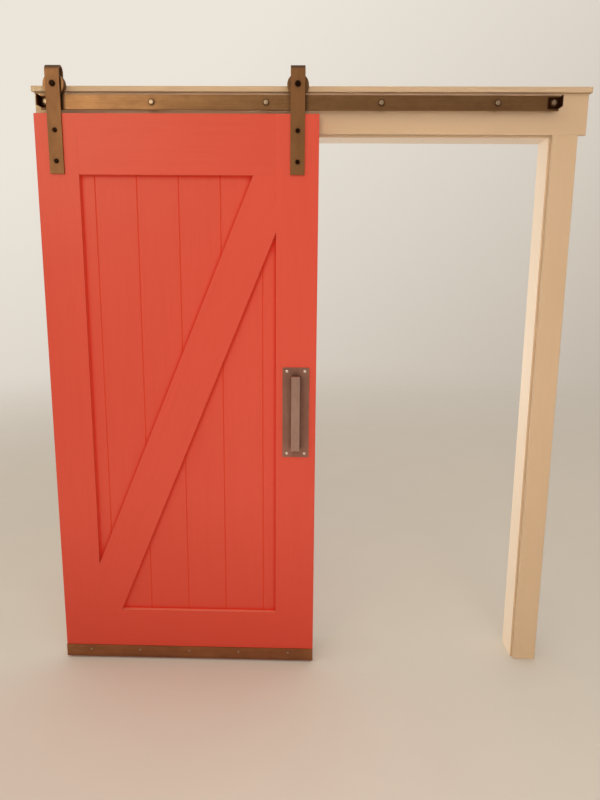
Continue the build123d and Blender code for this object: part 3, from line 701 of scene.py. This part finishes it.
def add_screws(materials):
    """The pull's, the foot strip's and the guide's screws."""
    for node, (body, columns, rows, head_height, shank_radius) in SCREWS.items():
        low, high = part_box(node)
        radius = head_radius_of(low, high, columns, rows)
        meshes = []
        for i, x in enumerate(evenly(low.x, high.x, radius, columns)):
            for k, z in enumerate(evenly(low.z, high.z, radius, rows)):
                twist = SCREW_FIRST_TWIST + SCREW_TWIST_STEP * (i + 2 * k)
                meshes += screw_meshes(node, x, z, radius, head_height, shank_radius, twist)
        join_fasteners(node.replace("screws", "screw_set"), node, body, meshes, materials)


def add_floor():
    """A plain pale floor, fading into the backdrop far from the door."""
    corners = [(-FLOOR_HALF, -FLOOR_HALF, 0), (FLOOR_HALF, -FLOOR_HALF, 0),
               (FLOOR_HALF, FLOOR_HALF, 0), (-FLOOR_HALF, FLOOR_HALF, 0)]
    mesh = bpy.data.meshes.new("floor")
    mesh.from_pydata(corners, [], [(0, 1, 2, 3)])
    floor = bpy.data.objects.new("floor", mesh)
    bpy.context.scene.collection.objects.link(floor)
    material, tree, shader = new_material("floor")
    clouds = noise(tree, ALONG_X, *FLOOR_CLOUDS)
    shade = tuple(FLOOR_SHADE * c for c in FLOOR_COLOUR)
    tree.links.new(blend_colour(tree, clouds, FLOOR_COLOUR, shade), shader.inputs["Base Color"])
    shader.inputs["Roughness"].default_value = FLOOR_ROUGHNESS
    shader.inputs["Specular IOR Level"].default_value = FLOOR_SPECULAR
    place = add(tree, "ShaderNodeTexCoord")
    reach = tree.nodes.new("ShaderNodeVectorMath")
    reach.operation = "LENGTH"
    tree.links.new(place.outputs["Object"], reach.inputs[0])
    fade = add(tree, "ShaderNodeMapRange", Value=reach.outputs["Value"])
    fade.interpolation_type = "SMOOTHSTEP"
    fade.inputs["From Min"].default_value = FLOOR_FADE[0]
    fade.inputs["From Max"].default_value = FLOOR_FADE[1]
    tree.links.new(spread(tree, fade.outputs["Result"], 0.0, 1.0, 1.0, 0.0), shader.inputs["Alpha"])
    mesh.materials.append(material)


def add_lamp(name, place, target, width, watts, colour):
    """A soft round lamp that faces a point."""
    data = bpy.data.lights.new(name, "AREA")
    data.shape = "DISK"
    data.size = width
    data.energy = watts
    data.color = colour
    lamp = bpy.data.objects.new(name, data)
    bpy.context.scene.collection.objects.link(lamp)
    lamp.location = place
    lamp.rotation_mode = "QUATERNION"
    lamp.rotation_quaternion = (Vector(target) - Vector(place)).to_track_quat("-Z", "Y")
    return lamp


def add_lights():
    """Lamps from the right, by the camera and overhead, a glint on the steel, and daylight on the frame."""
    lamps = {name: add_lamp(name, *values) for name, values in LAMPS.items()}
    for name, lamp in lamps.items():
        lamp.visible_glossy = name == "glint"
        lamp.visible_diffuse = name != "glint"
    lamps["overhead"].data.spread = OVERHEAD_SPREAD
    lit = bpy.data.collections.new("lit_by_daylight")
    for finish in ("cream_upright", "cream_level", "header"):
        for node in WEARERS[finish]:
            lit.objects.link(frame["nodes"][node])
    lamps["daylight"].light_linking.receiver_collection = lit


def add_sky():
    """A pale sky that is brightest behind the door and up to the left."""
    world = bpy.data.worlds.new("studio")
    bpy.context.scene.world = world
    world.use_nodes = True
    tree = world.node_tree
    background = tree.nodes["Background"]
    place = add(tree, "ShaderNodeTexCoord")
    facing = tree.nodes.new("ShaderNodeVectorMath")
    facing.operation = "DOT_PRODUCT"
    facing.inputs[1].default_value = Vector(SKY_TOWARDS).normalized()
    tree.links.new(place.outputs["Generated"], facing.inputs[0])
    glow = spread(tree, facing.outputs["Value"], *SKY_RANGE, 0.0, 1.0)
    tree.links.new(blend_colour(tree, glow, SKY_DIM, SKY_BRIGHT), background.inputs["Color"])
    background.inputs["Strength"].default_value = SKY_STRENGTH


def add_camera():
    """The camera at the photograph's viewing angle."""
    data = bpy.data.cameras.new("camera")
    data.sensor_width = SENSOR_WIDTH
    data.lens = FOCAL_PIXELS * SENSOR_WIDTH / IMAGE_HEIGHT
    data.clip_start = CLIP_NEAR
    data.clip_end = CLIP_FAR
    camera = bpy.data.objects.new("camera", data)
    bpy.context.scene.collection.objects.link(camera)
    level = Vector((math.sin(CAMERA_YAW), math.cos(CAMERA_YAW), 0.0))
    forward = level * math.cos(CAMERA_PITCH) - Vector((0.0, 0.0, math.sin(CAMERA_PITCH)))
    right = Vector((math.cos(CAMERA_YAW), -math.sin(CAMERA_YAW), 0.0))
    up = right.cross(forward)
    aim = Matrix((right, up, -forward)).transposed().to_4x4()
    camera.matrix_world = Matrix.Translation(CAMERA_PLACE) @ aim @ Matrix.Rotation(CAMERA_ROLL, 4, "Z")
    bpy.context.scene.camera = camera


bpy.context.scene.view_settings.view_transform = "Standard"
add_camera()
add_sky()
add_lights()
add_floor()
finishes = make_materials()
dress_nodes(finishes)
add_lag_bolts(finishes)
add_screws(finishes)
